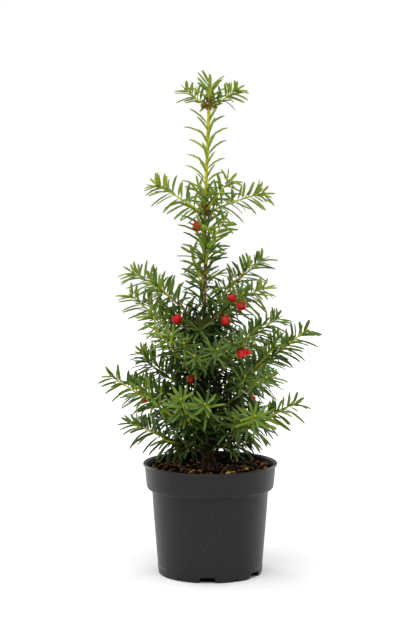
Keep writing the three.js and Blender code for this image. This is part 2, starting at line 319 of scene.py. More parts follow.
def berry_finish():
    f = Finish("aril_flesh", Specular_IOR_Level=0.35, Coat_Weight=0.08, Coat_Roughness=0.2)
    mottle = f.cloud(420, 3)
    bloom = f.between(f.cloud(1500, 3, 0.7), 0.5, 0.75)
    body = f.tones(mottle, 0.3, 0.7, "b40006", "dc040e")
    return f.finished(f.blend(bloom * 0.06, body, "d8404a"), 0.4 + 0.16 * bloom,
                      mottle + 0.5 * bloom)


def seed_finish():
    f = Finish("seed", Specular_IOR_Level=0.4)
    streaks = f.cloud(800, 3)
    return f.finished(f.blend(streaks, "15120a", "3c3a1c"), 0.4 + 0.2 * streaks)


def floor_finish():
    f = Finish("floor_paper", Specular_IOR_Level=0.05)
    grain = f.cloud(60, 2)
    return f.finished(f.blend(grain, (0.89, 0.89, 0.89, 1), (0.92, 0.92, 0.92, 1)),
                      0.85 + 0.1 * grain)


# ---------------------------------------------------------------- making pieces

def put_in_scene(name, data, place=(0, 0, 0), turn=(0, 0, 0)):
    made = bpy.data.objects.new(name, data)
    made.location = place
    made.rotation_euler = turn
    bpy.context.scene.collection.objects.link(made)
    return made


def settle(piece, finishes, replaced=()):
    """Gives a finished piece its materials, and its place in the frame."""
    for finish in finishes:
        piece.data.materials.append(finish)
    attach(piece, "root")
    if replaced:
        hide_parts(*replaced)


class Heap:
    """Many small shapes, gathered in millimetres into one joined mesh."""

    def __init__(self):
        self.points, self.faces, self.finish, self.values = [], [], [], []
        self.count = 0

    def add(self, points, faces, finish=0, value=None):
        """finish and value are one number, or one for each face or point."""
        points = np.asarray(points, float)
        self.points.append(points)
        self.faces.extend([[v + self.count for v in face] for face in faces])
        self.finish.append(np.broadcast_to(finish, len(faces)))
        if value is not None:
            self.values.append(np.broadcast_to(value, len(points)))
        self.count += len(points)

    def add_tube(self, line, radii, sides, finish=0, ages=None):
        """A closed tube; ages is one number for each ring."""
        ages = None if ages is None else np.repeat(ages, sides)
        self.add(*tube(line, radii, sides), finish, ages)

    def piece(self, name, attribute=None, smooth=True, creases=None):
        mesh = bpy.data.meshes.new(name)
        mesh.from_pydata((np.concatenate(self.points) * MM).tolist(), [], self.faces)
        mesh.polygons.foreach_set("material_index",
                                  np.concatenate(self.finish).astype(np.int32))
        mesh.polygons.foreach_set("use_smooth", np.full(len(self.faces), smooth))
        if attribute:
            layer = mesh.attributes.new(attribute, "FLOAT", "POINT")
            layer.data.foreach_set("value",
                                   np.concatenate(self.values).astype(np.float32))
        if creases is not None:
            edges = np.zeros(len(mesh.edges) * 2, np.int32)
            mesh.edges.foreach_get("vertices", edges)
            a, b = edges.reshape(-1, 2).T
            layer = mesh.attributes.new("sharp_edge", "BOOLEAN", "EDGE")
            layer.data.foreach_set("value", (creases[a] > 0) & (creases[a] == creases[b]))
        mesh.update()
        return put_in_scene(name, mesh)


def unit(v):
    v = np.asarray(v, float)
    return v / np.maximum(np.linalg.norm(v, axis=-1, keepdims=True), 1e-9)


def around(ahead, turn):
    """The direction that stands out from a shoot, turned from straight up."""
    level = unit(np.cross(ahead, UP if abs(ahead[2]) < 0.95 else FRONT))
    return np.cross(level, ahead) * cos(turn) + level * sin(turn)


def frames(line):
    """Tangents of a line, with two crosswise directions that don't twist along it."""
    ahead = unit(np.gradient(line, axis=0))
    start = np.cross(ahead[0], UP)
    if np.linalg.norm(start) < 0.2:
        start = np.array([1.0, 0, 0])
    across = [unit(start - ahead[0] * start.dot(ahead[0]))]
    for forward in ahead[1:]:
        kept = across[-1] - forward * across[-1].dot(forward)
        across.append(unit(kept))
    across = np.array(across)
    return ahead, across, np.cross(across, ahead)


def round_turns(sides):
    return np.arange(sides) * tau / sides


def walls(rings, sides):
    """Faces that join each ring of points to the next."""
    faces = []
    for a in range(0, (rings - 1) * sides, sides):
        b = a + sides
        faces += [[a + s, b + s, b + (s + 1) % sides, a + (s + 1) % sides]
                  for s in range(sides)]
    return faces


def shell(rings, sides):
    """The walls, with a face over each end."""
    last = (rings - 1) * sides
    return walls(rings, sides) + [list(range(sides)), [last + s for s in reversed(range(sides))]]


def tube(line, radii, sides):
    """Points and faces of a closed tube. radii is one for each ring, or ring by side."""
    line = np.asarray(line, float)
    _, across, over = frames(line)
    turn = round_turns(sides)
    radii = np.asarray(radii, float).reshape(len(line), -1)
    ring = across[:, None] * np.cos(turn)[:, None] + over[:, None] * np.sin(turn)[:, None]
    points = (line[:, None] + ring * radii[..., None]).reshape(-1, 3)
    return points, shell(len(line), sides)


# ---------------------------------------------------------------- modelling by hand

def nothing_selected():
    if bpy.context.object and bpy.context.object.mode != "OBJECT":
        bpy.ops.object.mode_set(mode="OBJECT")
    bpy.ops.object.select_all(action="DESELECT")


def turned(name, profile, sides):
    """A round closed solid: a circle drawn out ring by ring along a profile.

    The profile is (radius, height) in mm; its first and last rings are closed.
    """
    nothing_selected()
    radius, height = profile[0]
    bpy.ops.mesh.primitive_circle_add(vertices=sides, radius=radius * MM,
                                      fill_type="NGON", location=(0, 0, height * MM))
    made = bpy.context.object
    made.name = made.data.name = name
    bpy.ops.object.transform_apply(location=True, rotation=True, scale=True)
    bpy.ops.object.mode_set(mode="EDIT")
    bpy.ops.mesh.select_all(action="SELECT")
    bpy.ops.mesh.select_mode(type="EDGE")
    for next_radius, next_height in profile[1:]:
        bpy.ops.mesh.extrude_region_move(
            TRANSFORM_OT_translate={"value": (0, 0, (next_height - height) * MM)})
        share = next_radius / radius
        bpy.ops.transform.resize(value=(share, share, 1),
                                 center_override=(0, 0, next_height * MM))
        radius, height = next_radius, next_height
    bpy.ops.mesh.select_all(action="SELECT")
    bpy.ops.mesh.normals_make_consistent(inside=False)
    bpy.ops.object.mode_set(mode="OBJECT")
    return made


def select_only(*pieces):
    nothing_selected()
    for piece in pieces:
        piece.select_set(True)
    bpy.context.view_layer.objects.active = pieces[0]


def apply_all(piece):
    select_only(piece)
    for modifier in list(piece.modifiers):
        bpy.ops.object.modifier_apply(modifier=modifier.name)


def smooth_by(piece, angle):
    select_only(piece)
    bpy.ops.object.shade_smooth_by_angle(angle=radians(angle))


# ---------------------------------------------------------------- pot

BASE_RADIUS = 50
POT_HEIGHT = 108
LARGE_NOTCH = {"width": 18.5, "height": 5.5, "azimuths": (267, 328.5, 30, 90, 150)}
SMALL_NOTCH = {"width": 3, "height": 3, "azimuths": (233, 299.5, 0, 60, 120)}
NOTCH_DEPTH = 14
NOTCH_SLOPE = 2.7
SOIL_TOP = 101
RIM_REACH = (56, 68)

POT_PROFILE = [
    (48.5, 0), (49.3, 0.15), (49.8, 0.6), (50.05, 1.3), (50.5, 4.5), (50.95, 7.3),
    (50.98, 7.7), (50.72, 8.2), (50.7, 9.0), (51.9, 24), (53.4, 42), (54.8, 60),
    (55.9, 76), (56.15, 80.2), (56.25, 81.4), (56.6, 82.1), (57.4, 82.5), (59.2, 82.9),
    (60.4, 83.6), (61.15, 84.7), (61.5, 86.2), (61.62, 87.4), (62.2, 93), (62.8, 99.5),
    (63.15, 104.3), (63.4, 104.9), (64.1, 105.25), (64.7, 105.7), (65.0, 106.4),
    (64.95, 107.1), (64.6, 107.65), (64.0, 107.95), (63.2, 108.0), (62.3, 107.8),
    (61.75, 107.3), (61.55, 106.4), (61.0, 98), (60.2, 88), (59.7, 86.6), (56.4, 83.6),
    (54.7, 82.4), (54.5, 81.2), (52.6, 60), (50.7, 30), (49.2, 8), (48.7, 3.0),
    (48.0, 2.2), (46.6, 2.0),
]


def notch_cutter(notch, azimuth):
    """A block that leans in towards its top, set across the pot's foot."""
    below = 1
    depth = NOTCH_DEPTH + below
    height = notch["height"] + below
    nothing_selected()
    bpy.ops.mesh.primitive_cube_add(
        size=1, location=(0, -(BASE_RADIUS + below - depth / 2) * MM, (height / 2 - below) * MM))
    cutter = bpy.context.object
    cutter.scale = (notch["width"] * MM, depth * MM, height * MM)
    bpy.ops.object.transform_apply(location=True, rotation=True, scale=True)
    narrowing = 1 - 2 * min(NOTCH_SLOPE, notch["width"] / 4) / notch["width"]
    for vertex in cutter.data.vertices:
        if vertex.co.z > 0:
            vertex.co.x *= narrowing
    cutter.rotation_euler.z = radians(azimuth - 270)
    bpy.ops.object.transform_apply(location=True, rotation=True, scale=True)
    return cutter


def make_pot():
    pot = turned("nursery_pot", POT_PROFILE, 128)
    cutters = [notch_cutter(notch, azimuth)
               for notch in (LARGE_NOTCH, SMALL_NOTCH) for azimuth in notch["azimuths"]]
    for cutter in cutters:
        cut = pot.modifiers.new("notch", "BOOLEAN")
        cut.operation = "DIFFERENCE"
        cut.solver = "EXACT"
        cut.object = cutter
    edge = pot.modifiers.new("edge", "BEVEL")
    edge.width = 0.2 * MM
    edge.segments = 2
    edge.limit_method = "ANGLE"
    edge.angle_limit = radians(50)
    apply_all(pot)
    for cutter in cutters:
        bpy.data.objects.remove(cutter)
    smooth_by(pot, 32)
    # inner faces take the inner-wall finish, whose near black is painted shade
    for face in pot.data.polygons:
        x, y, z = face.center / MM
        inward = face.normal.x * x + face.normal.y * y < -0.3 * hypot(x, y)
        face.material_index = 1 if inward and z < POT_HEIGHT - 2 else 0
    settle(pot, [pot_plastic(), shaded_dusty_wall()], ["pot"])


# ---------------------------------------------------------------- potting mix

# the mix is level round the stem, uneven further out, and heaped against the pot's wall
LEVEL_RADIUS = 11
HEAP_HEIGHT, HEAP_FROM, HEAP_WIDTH = 2.4, 44, 13
SOIL_EDGE = 60.5
CRUMBS, CHIPS, SHARDS, FIBRES = 1500, 150, 230, 46
CRUMB_SIZES, CRUMB_SHARES = [1.2, 1.8, 2.6, 3.8], [0.35, 0.35, 0.22, 0.08]


def soil_level(x, y):
    distance = hypot(x, y)
    t = clamp((distance - LEVEL_RADIUS) / LEVEL_RADIUS)
    uneven = t * t * (3 - 2 * t)
    broad = sin(x * 0.14 + 1) * cos(y * 0.12 - 0.5)
    heaped = HEAP_HEIGHT * clamp((distance - HEAP_FROM) / HEAP_WIDTH) ** 2
    return SOIL_TOP + 1.1 * uneven * (0.7 * broad + 0.3 * sin(y * 0.3)) + heaped


def make_soil():
    rings = [(r, SOIL_TOP) for r in np.arange(59.4, 1.0, -1.35)]
    profile = [(47.5, 2.4), (53.9, 82.6), (59.3, 89.0), *rings]
    bed = turned("potting_mix", profile, 110)
    for vertex in bed.data.vertices:
        x, y, z = vertex.co / MM
        if z > SOIL_TOP - 1:
            lumps = noise.noise(Vector((x, y, 3)) * 0.35)
            lumps += 0.5 * noise.noise(Vector((x, y, 9)) * 0.9)
            edge = clamp((SOIL_EDGE - hypot(x, y)) / 4, 0.2)
            vertex.co.z = (soil_level(x, y) + 0.9 * lumps * edge - 0.3) * MM
    smooth_by(bed, 60)
    settle(bed, [mix_finish("peat", "020201", "050302", "140c06")], ["soil"])


ICOSAHEDRON_TURN = (1 + sqrt(5)) / 2


def lump(size, stretch):
    """A crumb: an uneven icosahedron."""
    g = ICOSAHEDRON_TURN
    points = np.array([(-1, g, 0), (1, g, 0), (-1, -g, 0), (1, -g, 0), (0, -1, g), (0, 1, g),
                       (0, -1, -g), (0, 1, -g), (g, 0, -1), (g, 0, 1), (-g, 0, -1), (-g, 0, 1)])
    faces = [(0, 11, 5), (0, 5, 1), (0, 1, 7), (0, 7, 10), (0, 10, 11), (1, 5, 9), (5, 11, 4),
             (11, 10, 2), (10, 7, 6), (7, 1, 8), (3, 9, 4), (3, 4, 2), (3, 2, 6), (3, 6, 8),
             (3, 8, 9), (4, 9, 5), (2, 4, 11), (6, 2, 10), (8, 6, 7), (9, 8, 1)]
    points = unit(points) * within(0.7, 1.15, (12, 1))
    return points * size / 2 * np.array(stretch), faces


def turn_matrix(tilt=pi):
    """A random turn: any way round, tipped by up to tilt."""
    round_z = Matrix.Rotation(within(0, tau), 3, "Z")
    tip = Matrix.Rotation(within(-tilt, tilt), 3, "X")
    first = Matrix.Rotation(within(0, tau), 3, "Z")
    return np.array(round_z @ tip @ first)


def bed_spot(reach=58.0, hole=4.0):
    """A random place on the potting mix, clear of the stem's foot."""
    distance = sqrt(within((hole / reach) ** 2, 1)) * reach
    turn = within(0, tau)
    x, y = distance * cos(turn), distance * sin(turn)
    return x, y, soil_level(x, y)


def make_crumbs():
    heap = Heap()
    for _ in range(CRUMBS):
        size = pick(CRUMB_SIZES, p=CRUMB_SHARES)
        points, faces = lump(size, (1, within(0.6, 1), within(0.45, 0.8)))
        x, y, z = bed_spot(58.6 - size / 2)
        heap.add(points @ turn_matrix(0.6).T + (x, y, z + size * 0.12), faces,
                 pick(3, p=[0.8, 0.15, 0.05]))
    settle(heap.piece("peat_crumbs", smooth=False),
           [mix_finish("crumb_black", "020201", "060403", "100a06"),
            mix_finish("crumb_brown", "0f0905", "20140a", "3c2711"),
            mix_finish("crumb_rust", "3b230e", "6b421b", "936025")])


def splinter(length, width, height):
    """A chip of bark: a flat split piece with uneven, blunt ends."""
    rows = 5
    points = []
    for t in np.linspace(0, 1, rows):
        ends = 0.35 + 0.65 * sin(pi * clamp(t, 0.12, 0.88))
        wide = width / 2 * ends * within(0.8, 1.15)
        tall = height / 2 * within(0.7, 1.2) * (0.6 + 0.4 * ends)
        drift = about(0, width * 0.06)
        x = (t - 0.5) * length
        points += [(x, -wide + drift, -tall * 0.5), (x, -wide * 0.75 + drift, tall * 0.7),
                   (x + about(0, 0.2), drift, tall), (x, wide * 0.8 + drift, tall * 0.6),
                   (x, wide + drift, -tall * 0.4), (x, drift, -tall)]
    return np.array(points), [face[::-1] for face in shell(rows, len(points) // rows)]


# right, front-to-back, length, width, tone of the chips that lie in plain view
PLACED_CHIPS = [
    (19.3, -28.5, 9.0, 5.5, 3), (34.9, -14.0, 8.0, 5.0, 3), (-15.9, -19.0, 7.0, 4.5, 2),
    (-9.5, -20.0, 5.0, 4.0, 2), (-18.5, -26.0, 4.5, 3.2, 3), (-12.0, 24.0, 9.5, 6.5, 2),
    (32.0, 5.0, 8.5, 5.5, 2), (41.0, 34.0, 8.5, 5.0, 1), (51.0, 18.0, 9.5, 4.5, 1),
    (46.0, 26.0, 6.5, 4.0, 2), (-50.0, 22.0, 8.5, 5.0, 1), (-43.0, 0.0, 9.5, 4.5, 1),
    (-26.0, -6.0, 8.5, 5.0, 1), (26.0, -21.0, 6.5, 4.0, 2), (10.5, -31.0, 5.5, 3.4, 1),
    (0.5, -29.0, 6.5, 4.0, 1), (-33.0, 12.0, 7.5, 4.5, 2), (40.5, -4.0, 6.5, 3.5, 1),
    (24.0, 30.0, 7.5, 4.5, 1), (-38.0, -16.0, 6.5, 4.0, 1), (46.0, -17.0, 6.5, 4.0, 1),
    (-31.0, 30.0, 8.0, 5.0, 1), (-22.0, 12.0, 6.0, 4.0, 2), (15.0, -12.0, 6.0, 4.0, 1),
    (55.0, 4.0, 7.0, 4.5, 1), (53.0, -9.0, 6.0, 3.5, 2), (50.5, 8.0, 6.0, 4.0, 2),
    (54.0, 13.0, 6.5, 4.0, 1), (-54.5, 2.0, 6.5, 4.0, 1), (-52.0, -8.0, 6.0, 3.5, 1),
]


def make_chips():
    heap = Heap()
    for x, y, length, width, tone in PLACED_CHIPS:
        size = 0.95 if tone == 3 else 0.6
        points, faces = splinter(length * size, width * size, within(2.4, 3.6) * size)
        heap.add(points @ turn_matrix(0.5).T + (x, y, soil_level(x, y) + 1.8), faces, tone)
    for _ in range(CHIPS):
        length = pick([within(1.4, 3.4), within(3.0, 5.5)], p=[0.75, 0.25])
        points, faces = splinter(length, length * within(0.2, 0.42), within(0.5, 1.3))
        x, y, z = bed_spot(58.0 - length / 2)
        heap.add(points @ turn_matrix(0.8).T + (x, y, z + within(0.2, 1.3)), faces,
                 pick(4, p=[0.58, 0.25, 0.14, 0.03]))
    settle(heap.piece("bark_chips", smooth=False),
           [chip_finish("chip_dark", "180e07", "32200f"),
            chip_finish("chip_rust", "4f2e10", "8f5a22"),
            chip_finish("chip_tan", "7c521d", "bb8434"),
            chip_finish("chip_yellow", "a98428", "e2c052")])


def make_shards():
    """Thin slivers of bark and straw on top of the mix."""
    heap = Heap()
    for _ in range(SHARDS):
        length = within(1.2, 4.2)
        points, faces = splinter(length, within(0.4, 0.9), within(0.3, 0.6))
        x, y, z = bed_spot(59.0 - length / 2)
        if noise.noise(Vector((x, y, 0)) * 0.11) < -0.02:
            continue
        heap.add(points @ turn_matrix(0.7).T + (x, y, z + within(0.7, 1.7)), faces,
                 pick(3, p=[0.5, 0.35, 0.15]))
    settle(heap.piece("bark_shards", smooth=False),
           [chip_finish("shard_rust", "4e2c10", "8c5a20"),
            chip_finish("shard_tan", "74491a", "b07a2e"),
            chip_finish("shard_straw", "9c7a2a", "d8b64c")])


def make_fibres():
    heap = Heap()
    starts = [(14.0, -30.0, 22.0, 5.6)]
    starts += [(*bed_spot(50)[:2], within(7, 20), within(0, 6.3)) for _ in range(FIBRES)]
    for x, y, length, heading in starts:
        rows = 9
        t = np.linspace(0, 1, rows)
        curl = within(-1.6, 1.6)
        direction = heading + curl * t
        step = length / rows
        px = x + np.cumsum(np.cos(direction)) * step
        py = y + np.cumsum(np.sin(direction)) * step
        keep = np.hypot(px, py) < 57
        if keep.sum() < 4:
            continue
        px, py, t = px[keep], py[keep], t[keep]
        lift = within(0.5, 3.0) * np.sin(pi * t)
        pz = np.array([soil_level(a, b) for a, b in zip(px, py)]) + 0.7 + lift
        thickness = np.full(len(px), within(0.16, 0.34))
        heap.add_tube(np.stack([px, py, pz], 1), thickness, 5, chance.integers(0, 2))
    settle(heap.piece("root_fibres"), [chip_finish("fibre_brown", "3a2413", "6b4725"),
                                       chip_finish("fibre_tan", "6e4d2a", "a47b45")])


# ---------------------------------------------------------------- stem and shoots

def stem_at(height):
    """Centre and radius of the stem at a height."""
    heights = STEM[:, 0]
    clamped = np.clip(height, heights[0], heights[-1])
    i = int(np.clip(np.searchsorted(heights, clamped) - 1, 0, len(heights) - 2))
    low, high = heights[i], heights[i + 1]
    t = (clamped - low) / (high - low)
    slopes = np.gradient(STEM[:, 1:3], heights, axis=0)
    h = high - low
    place = ((2 * t**3 - 3 * t**2 + 1) * STEM[i, 1:3] + (t**3 - 2 * t**2 + t) * h * slopes[i]
             + (3 * t**2 - 2 * t**3) * STEM[i + 1, 1:3] + (t**3 - t**2) * h * slopes[i + 1])
    radius = STEM[i, 3] + (STEM[i + 1, 3] - STEM[i, 3]) * t
    return np.array([place[0], place[1], height]), radius


class Shoot:
    """A twig from its foot to its tip, as points on a line."""

    def __init__(self, name, start, azimuth, sweep, rise, rise_at_tip, length, bare, zone,
                 tint=0, sparse=1, fine=1, roll=0, radius=None):
        self.name, self.length, self.bare, self.zone = name, length, bare, zone
        self.tint, self.sparse, self.fine, self.roll = tint, sparse, fine, roll
        steps = 48
        along = (np.arange(steps) + 0.5) / steps
        heading = np.radians(azimuth + sweep * along)
        climb = np.radians(rise + (rise_at_tip - rise) * along)
        step = np.stack([np.cos(climb) * np.cos(heading), np.cos(climb) * np.sin(heading),
                         np.sin(climb)], 1) * length / steps
        self.points = np.concatenate([[start], start + np.cumsum(step, axis=0)])
        self.reaches = np.linspace(0, length, steps + 1)
        self.ahead = unit(np.gradient(self.points, axis=0))
        self.radius = radius or (1.05 if zone == "top" else max(0.9, 0.0115 * length))

    def at(self, reach):
        return np.array([np.interp(reach, self.reaches, self.points[:, k]) for k in range(3)])

    def line(self, reaches):
        return [self.at(reach) for reach in reaches]

    def forward(self, reach):
        return unit([np.interp(reach, self.reaches, self.ahead[:, k]) for k in range(3)])

    def radius_at(self, reach):
        return np.maximum(self.radius * (1 - 0.5 * np.asarray(reach) / self.length), 0.5)

    def branch(self, share, turn, lift, length):
        """A side shoot, turned from this one and growing less steeply."""
        ahead = self.forward(share * self.length)
        azimuth = degrees(atan2(ahead[1], ahead[0])) + turn
        rise = degrees(asin(ahead[2])) + lift
        return Shoot(self.name + "_side", self.at(share * self.length), azimuth, -turn * 0.35,
                     rise, rise + 4, length, 0, self.zone, self.tint, self.sparse, self.fine,
                     radius=0.95)


def grow():
    """The main shoots, then the side shoots that they carry."""
    main = [Shoot(name, stem_at(row[0])[0], *row[1:]) for name, row in SHOOTS.items()]
    sides = []
    for shoot in main:
        count = sum(shoot.length > least for least in BRANCHING_LENGTHS)
        if not count:
            continue
        hand = pick([-1, 1])
        for k in range(count):
            share = 0.3 + 0.42 * (k + within(0.1, 0.7)) / count
            turn = hand * within(32, 55)
            length = (1 - share) * shoot.length * within(0.5, 0.72)
            sides.append(shoot.branch(share, turn, within(-8, 8), length))
            hand = -hand
    inner = []
    for k, height in enumerate(INNER_HEIGHTS):
        azimuth = degrees(k * GOLDEN_TURN) + 40
        inner.append(Shoot("inner", stem_at(height)[0], azimuth, within(-15, 15),
                           within(20, 48), 30, within(26, 44), 0, "core", radius=0.9))
    for height, azimuth in LOW_TUFTS:
        inner.append(Shoot("low_tuft", stem_at(height)[0], azimuth, 8, 16, 2,
                           within(30, 40), 0, "core", radius=0.9))
    return main, sides, inner


# ---------------------------------------------------------------- needles

# along a needle: where its rings lie and how wide they are; round a ring: its six corners
NEEDLE_SHARES = np.array([0, 0.06, 0.18, 0.43, 0.74, 0.92, 1.0])
NEEDLE_WIDTHS = np.array([0.36, 0.5, 0.88, 1.0, 0.94, 0.6, 0.0])
ACROSS = np.array([-1, -0.5, 0, 0.5, 1, 0])
LIFT = np.array([-0.12, 0.3, 0.17, 0.3, -0.12, -0.48])
LEFT_EDGE, RIGHT_EDGE = 0, 4
TWISTED_BY = 0.25
MIDWAY = 0.55
# the length of a shoot's end where needles crowd, the height under which a shoot is low,
# the share of needles that show their undersides, and how squarely a shoot points to the front
YOUNG_END = 15
LOW_SHOOTS = 140
TURNED_AWAY = 0.16
FORE_AND_AFT = 0.75

# colours of the upper sides, from dark to fresh, those of the undersides, and which go together;
# the darkest greens also serve as painted shade inside the crown
SHADES = ["101a05", "1c2b07", "2c4009", "3d560d", "4e6a10", "627c14", "768c19", "88981c"]
UNDERS = ["22320d", "4c6624", "82953a"]
UNDER_OF = [len(SHADES) + k for k in (0, 0, 1, 1, 1, 2, 2, 2)]
# how far out from the stem, and down from which height, needles are darkened as painted shade
SHELTER_REACH = 50
SHELTER_TOP = 258
SHELTER_DEPTH = 70

# how fresh the green of each zone is, from 0 dark to 1 yellow; the core's low value is painted
# shade
FRESHNESS = {"top": 0.65, "left": 0.53, "right": 0.52, "front": 0.39, "back": 0.48, "core": 0.32}
# zone: length, gap and width of its needles
NEEDLE_SIZES = {
    "top": (19.5, 2.05, 2.7), "core": (22.0, 2.0, 2.2), "front": (21.5, 1.9, 2.6),
    "back": (21.5, 1.9, 2.6), "left": (20.5, 1.95, 2.45), "right": (20.5, 1.95, 2.45),
}
# the stem's own needles: zone, lowest, highest, gap, length, shades, lean at tip and foot,
# width, and the directions that come back up the stem; the low rows' darkest shades are painted
# shade
STEM_NEEDLES = [
    ("top", 455, STEM_TIP - 1, 1.5, 19, [5, 6, 6, 7], 76, 52, 2.6, TIP_TURNS),
    ("top", 357, 438, 2.7, 25.5, [6, 7, 7], 88, 34, 2.1, LEADER_TURNS),
    ("core", 300, 345, 1.75, 29, [4, 5, 5], 84, 32, 2.6, COVERED_TURNS),
    ("core", 262, 300, 2.5, 29, [3, 4, 5], 86, 32, 2.4, OPEN_TURNS),
    ("core", 158, 262, 2.5, 24, [0, 1, 2], 78, 34, 2.3, None),
]
# needles deep inside the crown, in the darkest greens as painted shade
HIDDEN_NEEDLES = ("core", 132, 238, 1.6, 24, [0, 0, 1], 80, 42, 2.5, HIDDEN_TURNS)
FOLIAGE_OF = {zone: [name + "_foliage" for name, row in SHOOTS.items() if zone in row]
              for zone in ("top", "left", "right", "front", "back")}
FOLIAGE_OF["top"] += ["leader_tip_foliage", "leader_foliage"]
FOLIAGE_OF["core"] = ["upper_stem_foliage"]

# angles in radians; the upper side is turned to the face, by the face's share
Needle = namedtuple("Needle", "base forward radial lean bend length width face face_share "
                              "droop shade", defaults=(0.0, 0))


def clear_of_pot(needles):
    """Leaves out needles that would reach into the potting mix or the rim."""
    kept = []
    for needle in needles:
        angle = needle.lean + needle.bend * MIDWAY
        way = unit(needle.forward * cos(angle) + needle.radial * sin(angle)
                   - UP * needle.droop * MIDWAY)
        x, y, z = needle.base + way * needle.length
        distance = hypot(x, y)
        over_mix = z > SOIL_TOP + 2.5 or distance > RIM_REACH[1]
        if over_mix and (z > POT_HEIGHT + 2 or not RIM_REACH[0] < distance < RIM_REACH[1]):
            kept.append(needle)
    return kept


def draw_needles(name, needles, under_of=(0, 1)):
    """One mesh of closed needles. under_of is the underside's finish for each shade."""
    columns = [np.array(column, float) for column in zip(*needles)]
    base, forward, radial, lean, bend, length, width, face, face_share, droop, shade = columns
    shade = shade.astype(int)[:, None]

    def direction(t):
        angle = (lean + bend * t)[:, None]
        way = forward * np.cos(angle) + radial * np.sin(angle)
        return unit(way - UP * (droop * t)[:, None])

    place, reached, sections = base, 0, []
    for t, wide in zip(NEEDLE_SHARES, NEEDLE_WIDTHS):
        step = t - reached
        place = place + direction(t - step / 2) * (length * step)[:, None]
        reached = t
        ahead = direction(t)
        angle = (lean + bend * t)[:, None]
        toward_tip = forward * np.sin(angle) - radial * np.cos(angle)
        turned_share = (face_share * min(t / TWISTED_BY, 1))[:, None]
        normal = toward_tip * (1 - turned_share) + face * turned_share
        normal = unit(normal - ahead * (normal * ahead).sum(1, keepdims=True))
        side = np.cross(ahead, normal)
        half = (width * wide / 2)[:, None, None]
        thick = (0.35 + 0.65 * wide) * (wide > 0)
        sections.append(place[:, None] + side[:, None] * ACROSS[:, None] * half
                        + normal[:, None] * (LIFT * thick)[:, None])
    points = np.concatenate([*sections[:-1], sections[-1][:, :1]], 1)

    count, each = points.shape[:2]
    rings, sides, tip = len(sections) - 1, len(ACROSS), each - 1
    pattern = [[corners[0], *corners[:0:-1]] for corners in walls(rings, sides)]
    pattern += [[tip - sides + s, tip - sides + (s + 1) % sides, tip] for s in range(sides)]
    pattern.append(list(reversed(range(sides))))
    upper = [s < RIGHT_EDGE for _ in range(rings) for s in range(sides)] + [False]
    rail = np.zeros(each, int)
    rail[LEFT_EDGE:tip:sides] = 1
    rail[RIGHT_EDGE:tip:sides] = 2
    heap = Heap()
    heap.points.append(points.reshape(-1, 3))
    for k in range(count):
        heap.faces.extend([[v + k * each for v in corners] for corners in pattern])
    heap.finish.append(np.where(upper, shade, np.array(under_of)[shade]).ravel())
    creases = np.where(rail > 0, rail + 2 * np.arange(count)[:, None], 0)
    return heap.piece(name, creases=creases.ravel())


def painted_shade_depth(here):
    """How much painted shade a needle's green takes: 1 at the stem, low down; 0 where the crown is
    open to the light.
    """
    middle = stem_at(here[2])[0]
    inside = fade(hypot(here[0] - middle[0], here[1] - middle[1]), SHELTER_REACH)
    return inside * clamp((SHELTER_TOP - here[2]) / SHELTER_DEPTH)


def nearest_shade(shade):
    return clamp(round(shade), 0, len(SHADES) - 1)


def outlook(point, forward):
    """The level direction that a shoot's needles turn their faces to."""
    if abs(forward[1]) > FORE_AND_AFT:
        away = np.array([point[0], point[1], 0.0])
        return unit(away) if np.linalg.norm(away) > 1 else FRONT
    return FRONT if point[1] < 22 else -FRONT


